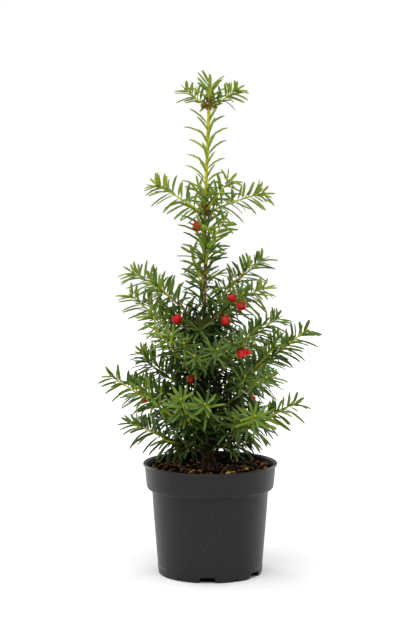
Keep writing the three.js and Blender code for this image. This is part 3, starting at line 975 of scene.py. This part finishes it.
def clothe(spray, shoot, gap, reach, freshness, width):
    """Needles along a shoot: in two loose ranks, all round near its tip."""
    position = max(shoot.bare * 0.45, 3.0)
    k = chance.integers(0, 50)
    patch_end, shade = -1, 0
    tint = about(0, 0.4)
    roll = radians(shoot.roll)
    foot_height = shoot.points[0][2]
    low_shoot = foot_height < LOW_SHOOTS
    back_lean = np.interp(foot_height, [120, 220, 350], [-7, 9, 15])
    while position < shoot.length + 0.2:
        here, ahead = shoot.at(position), shoot.forward(position)
        share = position / shoot.length
        near_tip = fade(shoot.length - position, YOUNG_END)
        end_on = abs(ahead[1]) > abs(ahead[0])
        rightward = ahead[0] > 0.3 and not end_on

        k += 1
        turn = k * GOLDEN_TURN
        two_ranked = 0.74 if rightward else 0.84
        ranked = 0.35 * (1 - near_tip) if end_on else two_ranked * (1 - 0.65 * near_tip)
        turn -= ranked * sin(2 * turn) / 2
        turn += about(0, 0.15) + (pi / 2 if end_on else roll)
        radial = around(ahead, turn)
        rising = radial @ UP

        if position > patch_end:
            patch_end = position + within(9, 16)
            # painted shade: the green darkens towards the stem, low in the crown
            light = freshness + 0.16 * (share - 0.4) - 0.34 * painted_shade_depth(here)
            shade = light * (len(SHADES) - 1) + tint + about(0, 0.45)
        tip_light = 0.2 if end_on else 0.8
        tone = nearest_shade(shade + about(0, 0.35) + tip_light * near_tip)

        if end_on:
            lean = 63 - 6 * near_tip
        elif shoot.zone == "top":
            lean = 58 - 12 * share - 10 * near_tip
        else:
            lean = 59 - 14 * share - 12 * near_tip
        if not end_on:
            lean += back_lean * (rising if rising > 0 else -0.4) * (0.5 if rightward else 1)
        lean = radians(lean + about(0, 5 + 5 * near_tip))
        bend = radians(about(19, 7) - 8 * near_tip)
        length = reach * (1 - 0.36 * near_tip ** 1.3) * within(0.86, 1.08)
        if not end_on:
            length *= 1.06 - (0.26 if rightward else 0.14) * rising
        if share < 0.12:
            length *= 0.85
        crowded = shoot.name.startswith("top") or (low_shoot and end_on)
        if crowded and share < (0.2 if end_on else 0.4) and (rising < -0.2 or share < 0.2):
            if shoot.zone != "top":
                position += gap
                continue
            lean, bend, length = radians(14), 0.0, within(5, 8)
        hanging = rising < 0.1 and low_shoot and share < 0.5
        if hanging:
            length *= 1.15

        side_face = outlook(here, ahead)
        if chance.random() < TURNED_AWAY:
            side_face = -side_face
        standing = clamp((rising + 0.1) / 0.7)
        face = side_face * (0.75 + 0.25 * standing) + UP * 0.65 * (1 - standing) + ahead * 0.25
        if end_on:
            face = face * 0.5 + ahead
        face = unit(face + about(0, 0.16, 3))
        hang = 0.14 if shoot.zone == "top" else 0.26
        droop = max(0.0, -rising) * hang + within(0, 0.1) + 0.45 * hanging
        base = here + radial * shoot.radius_at(position) * 0.7
        spray.append(Needle(base, ahead, radial, lean, bend, length,
                            width * within(0.88, 1.1), face, 0.9, droop, tone))
        position += gap * within(0.75, 1.25) * (0.8 + 0.4 * share) * (1 - 0.74 * near_tip)


def tuft(spray, shoot, freshness):
    """A few more young needles near the tip of a shoot, or on the bare part of a top one."""
    nearest, furthest = (7, 20) if shoot.name.startswith("top") else (0.5, 13)
    for k in range(6):
        position = shoot.length - within(nearest, furthest)
        here, ahead = shoot.at(position), shoot.forward(position)
        radial = around(ahead, k * GOLDEN_TURN + about(0, 0.3))
        tone = nearest_shade(freshness * (len(SHADES) - 1) + about(0.9, 0.5))
        face = outlook(here, ahead) + UP * 0.3 + ahead * 0.25
        face = unit(face + about(0, 0.2, 3))
        base = here + radial * shoot.radius_at(position) * 0.7
        spray.append(Needle(base, ahead, radial, radians(about(48, 8)),
                            radians(about(16, 6)), within(10, 16),
                            within(1.6, 2.1), face, 0.7, 0.05, tone))


def clothe_stem(sprays, zone, low, high, gap, reach, shades, final_lean, rise, width, turns):
    """Long needles set all round an upright stem, rising and then arching out.

    turns are the directions that come back up the stem; with none, it is a golden spiral.
    """
    height = low
    k = 0
    while height < high:
        centre, radius = stem_at(height)
        ahead = unit(stem_at(height + 2)[0] - stem_at(height - 2)[0])
        k += 1
        turn = radians(turns[k % len(turns)]) if turns else k * GOLDEN_TURN
        turn += about(0, 0.12)
        radial = np.array([cos(turn), sin(turn), 0.0])
        radial = unit(radial - ahead * (radial @ ahead))
        near_tip = fade(high - height, 16) if high > STEM_TIP - 12 else 0.0
        hugging = radial @ FRONT > 0.8
        lean = radians(about(rise, 4) - 16 * near_tip)
        bend = radians(final_lean - rise + about(0, 6) - 14 * near_tip - 24 * hugging)
        length = reach * within(0.88, 1.06) * (1 - 0.1 * near_tip)
        tone = int(pick(shades))
        twist = np.cross(ahead, radial) * pick([-1, 1])
        if twist @ FRONT < 0 and abs(radial[0]) > 0.6:
            twist = -twist
        face = unit(UP * 0.7 + twist * within(0.7, 1.1))
        sprays[zone].append(Needle(
            centre + radial * radius * 0.75, ahead, radial, lean, bend,
            length * (0.92 if hugging else 1), width * (1.25 if hugging else 1), face,
            0.2 if hugging else 0.8, 0.0, tone))
        height += gap * within(0.85, 1.15) * (1 - 0.45 * near_tip)


def cross_top_aril(spray):
    """The one long needle in front of the highest aril."""
    centre, radius = stem_at(329.8)
    across = unit(np.array([-0.64, -0.77, 0.0]))
    spray.append(Needle(centre + across * radius * 0.75, UP, across, radians(56),
                        radians(16), 27, 2.4, unit(FRONT + UP * 0.4), 0.9, 0.0, 4))


def needle_palette(name, gloss):
    """Upper sides from dark to fresh, then undersides; the dark ones are dull."""
    palette = []
    for k, code in enumerate(SHADES):
        shine = (0.42, gloss) if k > 2 else (0.6, 0.12)
        palette.append(needle_finish("%s_green_%d" % (name, k), code, *shine))
    return palette + [needle_finish("%s_under_%d" % (name, k), code, 0.5)
                      for k, code in enumerate(UNDERS)]


def make_needles(main, sides, inner):
    sprays = {zone: [] for zone in FOLIAGE_OF}
    tips = []
    for shoot in main + sides + inner:
        height = shoot.at(shoot.length)[2]
        fresh = FRESHNESS[shoot.zone] + 0.12 * clamp((height - 180) / 160, -0.6)
        if shoot.zone == "top" and shoot.points[0][2] < 340:
            fresh -= 0.12
        fresh += shoot.tint
        reach, gap, width = NEEDLE_SIZES[shoot.zone]
        if shoot.name.startswith("top"):
            reach, gap = 16.5, 1.6
        gap *= shoot.sparse
        if shoot.zone in ("left", "right"):
            width *= shoot.sparse ** 0.4
        width *= shoot.fine
        reach *= shoot.fine ** 0.4
        gap *= within(0.88, 1.12)
        width *= within(0.93, 1.08)
        clothe(sprays[shoot.zone], shoot, gap, reach, fresh, width)
        ahead = shoot.forward(shoot.length)
        if shoot in main and abs(ahead[1]) < abs(ahead[0]):
            tips.append((shoot, fresh))
    for row in STEM_NEEDLES:
        clothe_stem(sprays, *row)
    for shoot, fresh in tips:
        tuft(sprays[shoot.zone], shoot, fresh)
    cross_top_aril(sprays["core"])
    clothe_stem(sprays, *HIDDEN_NEEDLES)

    plain, sunlit = needle_palette("needle", 0.26), needle_palette("needle_front", 0.42)
    for zone in sprays:
        sprays[zone] = clear_of_pot(sprays[zone])
        settle(draw_needles("needles_" + zone, sprays[zone], UNDER_OF),
               sunlit if zone == "front" else plain, FOLIAGE_OF[zone])
    return sprays


# ---------------------------------------------------------------- bark

STEM_RINGS, STEM_SIDES = 300, 36
BOUGH_RINGS, BOUGH_SIDES = 26, 16
TWIG_SIDES = 10
UNDER_MIX = 1.6
BOUGH_OVERLAP = 4
COLLAR = 6
# heights, and how old the bark looks there; the oldest, lowest bark also carries painted shade
STEM_AGES = ([120, 200, 240, 290, 320, 350, 400], [1.0, 0.86, 0.72, 0.64, 0.42, 0.26, 0.0])
# how old the bark of a twig looks at its tip, and how much older at its foot
TWIG_AGES = {"top": (0.0, 0.14), "core": (0.4, 0.3)}
OTHER_TWIGS = (0.08, 0.34)


def stem_surface(height, radius, age, turn):
    """The stem's radius at a turn: root lobes, flaking plates when old, ribs when young."""
    flare = fade(height - STEM[0, 0], FLARE_HEIGHT)
    lobe = 1 + ROOT_LOBE_DEPTH * flare * cos(ROOT_LOBES * turn)
    spot = Vector((cos(turn) * 3.2, sin(turn) * 3.2, height * 0.22))
    ridge = noise.noise(Vector((spot.x * 1.5, spot.y * 1.5, height * 0.09)))
    near, far = noise.voronoi(spot)[0][:2]
    plate = min((far - near) * 3.0, 1.0)
    rough = (0.24 * plate + 0.42 * ridge) * min(radius / 2.5, 2.4) * age
    ribs = 0.07 * cos(5 * turn + height * 0.12) * (1 - age)
    return radius * lobe + rough + ribs


def bough_surface(shoot, reach, turn):
    """A bough's radius at a turn, wider where it leaves the stem."""
    radius = shoot.radius_at(reach) * (1 + 0.35 * fade(reach, COLLAR))
    spot = shoot.at(reach) + 3 * np.array([cos(turn), sin(turn), 0])
    return radius * (1 + 0.1 * noise.noise(Vector(spot) * 0.8))


def make_bark(main):
    """Stem with its root flare, and the boughs up to where they are clothed."""
    heap = Heap()
    low = STEM[0, 0] - UNDER_MIX
    heights = low + (STEM_TIP - STEM[0, 0] + UNDER_MIX) * np.linspace(0, 1, STEM_RINGS) ** 1.12
    ages = np.interp(heights, *STEM_AGES)
    rings = [stem_at(height) for height in heights]
    radii = [[stem_surface(height, radius, age, turn) for turn in round_turns(STEM_SIDES)]
             for height, (_, radius), age in zip(heights, rings, ages)]
    heap.add_tube([centre for centre, _ in rings], radii, STEM_SIDES, 0, ages)
    bare = [shoot for shoot in main if shoot.bare]
    for shoot in bare:
        reaches = np.linspace(0, shoot.bare + BOUGH_OVERLAP, BOUGH_RINGS)
        radii = [[bough_surface(shoot, reach, turn) for turn in round_turns(BOUGH_SIDES)]
                 for reach in reaches]
        ages = np.interp(reaches, [0, reaches[-1]], [0.85, 0.45])
        heap.add_tube(shoot.line(reaches), radii, BOUGH_SIDES, 0, ages)
    settle(heap.piece("stem_and_boughs", "age"), [bark_finish("bark")],
           ["trunk"] + [shoot.name + "_bough" for shoot in bare])


def make_twigs(main, sides, inner):
    heap = Heap()
    for shoot in main + sides + inner:
        rows = max(int((shoot.length - shoot.bare) / 2.2), 6)
        reaches = np.linspace(shoot.bare, shoot.length, rows)
        ribs = 0.09 * np.cos(np.arange(TWIG_SIDES) * pi) * np.ones((rows, 1))
        radii = shoot.radius_at(reaches)[:, None] * (
            1 + ribs + about(0, 0.035, (rows, TWIG_SIDES)))
        radii[-1] *= 0.5
        tip, older = TWIG_AGES.get(shoot.zone, OTHER_TWIGS)
        ages = np.interp(reaches, [0, shoot.length * 0.55, shoot.length],
                         [tip + older, tip + 0.08, tip])
        heap.add_tube(shoot.line(reaches), radii, TWIG_SIDES, 0, ages)
    settle(heap.piece("twigs", "age"), [bark_finish("young_twig")])


def make_leaf_bases(sprays):
    """The raised strips that run down the twig from the foot of each needle."""
    heap = Heap()
    faces = [[0, 2, 3], [0, 3, 1], [1, 3, 4], [2, 4, 3], [0, 1, 4, 2]]
    for zone, spray in sprays.items():
        for base, forward, radial, *_ in spray:
            across = np.cross(forward, radial) * 0.5
            foot = base - forward * within(3.6, 5.4) - radial * 0.35
            sunk = base - radial * 0.3
            # painted shade: leaf bases in the core zone take the dark finish
            heap.add([foot, sunk + across, sunk - across, base + radial * 0.34,
                      sunk + forward * 0.6], faces,
                     1 if zone == "core" else 0 if chance.random() < 0.68 else 2)
    settle(heap.piece("leaf_bases", smooth=False),
           [needle_finish("leaf_base_green", "7f9024"), needle_finish("leaf_base_painted_shade", "4a4a1c"),
            needle_finish("leaf_base_yellow", "c4ba16")])


# ---------------------------------------------------------------- buds

BUD_SCALES = 7
WHORL_SCALES = 36
WHORL_BUDS, SCALES_ON_BUD = 6, 9
SCALES_ON_FOOT = 5


def make_buds(main, sides, inner):
    """A bud on each tip, and papery brown scales where shoots leave the stem."""
    tips, scales = [], []
    for shoot in main + sides + inner:
        end, ahead = shoot.at(shoot.length), shoot.forward(shoot.length)
        # painted shade: buds on the inner shoots take a dark olive instead of yellow
        dull = 1 if shoot.zone == "core" else 0
        for k in range(BUD_SCALES):
            radial = around(ahead, k * GOLDEN_TURN)
            tips.append(Needle(end + radial * 0.35 + ahead * (0.12 * k - 0.6), ahead, radial,
                               radians(32 - 4 * k), radians(-34), 2.6, 1.7, ahead,
                               0.0, 0.0, dull))
    spots = []
    for height, spread in WHORLS:
        centre = stem_at(height)[0]
        for k in range(WHORL_SCALES):
            spots.append((centre + (0, 0, within(-3, 8)), UP, k, 3.7 * spread, 3.6))
        for turn in round_turns(WHORL_BUDS) + 0.5:
            out = unit([cos(turn), sin(turn), 0.4])
            for k in range(SCALES_ON_BUD):
                foot = centre + out * (4.4 + 0.28 * k) * spread + (0, 0, -1.5)
                spots.append((foot, out, k, 2.8, 1.2))
    for shoot in main + inner:
        for k in range(SCALES_ON_FOOT):
            spots.append((shoot.at(2.2 + 0.4 * k), shoot.forward(2), k, 2.2, shoot.radius + 0.2))
    for centre, ahead, k, size, away in spots:
        radial = around(ahead, k * GOLDEN_TURN)
        scales.append(Needle(centre + radial * away * 0.7, ahead, radial,
                             radians(within(10, 48)), radians(-22),
                             size * within(0.7, 1.1), size * 0.62, ahead, 0.0))
    settle(draw_needles("shoot_buds", clear_of_pot(tips)),
           [needle_finish("bud_yellow", "a8a428", 0.45), needle_finish("bud_painted_shade", "4c4a1a", 0.45)])
    settle(draw_needles("bud_scales", clear_of_pot(scales)), [scale_finish("bud_scale")] * 2)


# ---------------------------------------------------------------- arils

ARIL_PROFILE = [
    (0.7, 0.0), (2.0, 0.15), (3.2, 0.8), (4.1, 1.9), (4.6, 3.3), (4.72, 4.7), (4.55, 6.1),
    (4.05, 7.3), (3.4, 8.0), (2.75, 8.25), (2.3, 8.0), (2.1, 7.2), (2.15, 5.6), (2.0, 4.2),
    (1.2, 3.6),
]
ARIL_MIDDLE = 4.2
SEED_PROFILE = [
    (0.5, 3.4), (1.3, 3.7), (1.75, 4.8), (1.7, 6.0), (1.2, 7.0), (0.5, 7.5), (0.12, 7.65),
]

# right, back, height of the middle, which way the cup opens, its size;
# the first hangs from the stem, the others from the nearest shoot
ARILS = [
    (-11.9, -0.6, 336.8, (-0.45, -0.35, -0.8), 1),
    (21.7, -13.2, 269.7, (-0.5, -0.2, 0.8), 1),
    (29.6, -15.0, 262.2, (0.1, -0.55, -0.85), 1),
    (15.1, -17.0, 248.0, (0.1, -0.2, -0.9), 1),
    (-31.8, -4.5, 248.2, (-0.2, 0.3, -0.9), 1),
    (29.8, -47.0, 220.2, (0.2, -0.2, -0.9), 1),
    (35.9, -44.5, 221.4, (0.7, 0.1, -0.6), 0.7),
    (-19.3, -18.0, 192.0, (-0.3, 0.1, -0.9), 0.75),
    (-64.0, -15.0, 170.2, (0.1, -0.2, -0.9), 0.6),
    (41.2, -29.0, 174.6, (0.2, 0.1, -0.9), 0.5),
    (14.5, 33.0, 241.0, (0.1, 0.5, -0.8), 0.9),
    (-23.1, 28.1, 219.5, (-0.3, 0.6, -0.7), 1),
    (5.5, 55.0, 212.0, (0.5, 0.4, -0.8), 1),
    (41.0, 42.0, 182.5, (0.5, 0.5, -0.7), 1),
    (-35.3, 48.6, 142.1, (-0.3, 0.5, -0.8), 1),
    (27.5, 49.5, 139.0, (0.2, 0.5, -0.8), 1),
]


def make_arils(shoots):
    lines = np.concatenate([shoot.points for shoot in shoots])
    flesh = turned("arils", ARIL_PROFILE, 22)
    seed = turned("aril_seeds", SEED_PROFILE, 12)
    stalks = Heap()
    fleshes, seeds = [], []
    for number, (*middle, opening, size) in enumerate(ARILS):
        opening = unit(opening)
        foot = middle - opening * ARIL_MIDDLE * size
        near = lines[np.linalg.norm(lines - foot, axis=1).argmin()]
        if number == 0:
            near = stem_at(foot[2] - 3)[0]
        size *= within(0.95, 1.06)
        turn = Vector(opening).to_track_quat("Z", "Y").to_matrix().to_4x4()
        place = Matrix.Translation(Vector(foot * MM)) @ turn @ Matrix.Scale(size, 4)
        for model, copies in ((flesh, fleshes), (seed, seeds)):
            copy = put_in_scene(model.name + "_copy", model.data.copy())
            if model is flesh:
                for vertex in copy.data.vertices:
                    push = noise.noise(vertex.co * 260 + Vector(middle))
                    vertex.co += vertex.co.normalized() * push * 0.35 * MM
            copy.data.transform(place)
            copies.append(copy)
        bow = (near + foot) / 2 + (0, 0, 0.8)
        line = [near, near * 0.5 + bow * 0.5, bow, foot * 0.5 + bow * 0.5, foot + opening * 0.4]
        stalks.add_tube(line, [0.62, 0.58, 0.6, 0.85, 1.15], 8, 0, [0.25] * len(line))
    for model, copies, finish in ((flesh, fleshes, berry_finish()), (seed, seeds, seed_finish())):
        name = model.name
        bpy.data.objects.remove(model)
        select_only(*copies)
        bpy.ops.object.join()
        joined = bpy.context.object
        joined.name = joined.data.name = name
        smooth_by(joined, 70)
        settle(joined, [finish])
    settle(stalks.piece("aril_stalks", "age"), [bark_finish("aril_stalk")])


# ---------------------------------------------------------------- studio

CAMERA_PLACE = (-2.1, -2000, 472.8)
CAMERA_PITCH = 6.245
CAMERA_LENS = 120.98
FLOOR_SIZE = 14
# how bright the white backdrop is as a light, and as it is seen
SKY_LIGHT, SKY_SEEN = 0.46, 1.0
SUN_POWER, SUN_SPREAD, SUN_TILT = 2.4, 80, (28, -7, 0)
# place and power of the lamps that light the edges from behind
RIM_LIGHTS = {"rim_left": ((-1.5, 1.5, 0.5), 32), "rim_right": ((1.5, 1.5, 0.5), 23.5)}
RIM_LIGHT_SIZE = 1.2
RIM_LIGHT_AIM = Vector((0, 0, 0.25))


def make_studio():
    lens = bpy.data.cameras.new("camera")
    lens.lens = CAMERA_LENS
    lens.clip_end = 20
    bpy.context.scene.camera = put_in_scene("camera", lens, Vector(CAMERA_PLACE) * MM,
                                            (radians(90 - CAMERA_PITCH), 0, 0))

    nothing_selected()
    bpy.ops.mesh.primitive_plane_add(size=FLOOR_SIZE, location=(0, 0, 0))
    floor = bpy.context.object
    floor.name = "floor"
    floor.data.materials.append(floor_finish())

    world = bpy.data.worlds.new("studio")
    world.use_nodes = True
    nodes, links = world.node_tree.nodes, world.node_tree.links
    sky = nodes["Background"]
    sky.inputs["Color"].default_value = (1, 1, 1, 1)
    seen = nodes.new("ShaderNodeLightPath")
    level = nodes.new("ShaderNodeMapRange")
    level.inputs["To Min"].default_value = SKY_LIGHT
    level.inputs["To Max"].default_value = SKY_SEEN
    links.new(seen.outputs["Is Camera Ray"], level.inputs["Value"])
    links.new(level.outputs["Result"], sky.inputs["Strength"])
    bpy.context.scene.world = world

    sun = bpy.data.lights.new("softbox", "SUN")
    sun.energy = SUN_POWER
    sun.angle = radians(SUN_SPREAD)
    put_in_scene("softbox", sun, turn=[radians(tilt) for tilt in SUN_TILT])
    for name, (place, power) in RIM_LIGHTS.items():
        light = bpy.data.lights.new(name, "AREA")
        light.size = RIM_LIGHT_SIZE
        light.energy = power
        aim = (RIM_LIGHT_AIM - Vector(place)).to_track_quat("-Z", "Y").to_euler()
        put_in_scene(name, light, place, aim)
    bpy.context.scene.view_settings.view_transform = "Standard"


make_studio()
make_pot()
make_soil()
make_crumbs()
make_chips()
make_fibres()
main_shoots, side_shoots, inner_shoots = grow()
needle_sprays = make_needles(main_shoots, side_shoots, inner_shoots)
make_bark(main_shoots)
make_twigs(main_shoots, side_shoots, inner_shoots)
make_leaf_bases(needle_sprays)
make_buds(main_shoots, side_shoots, inner_shoots)
make_arils(main_shoots + side_shoots + inner_shoots)
make_shards()
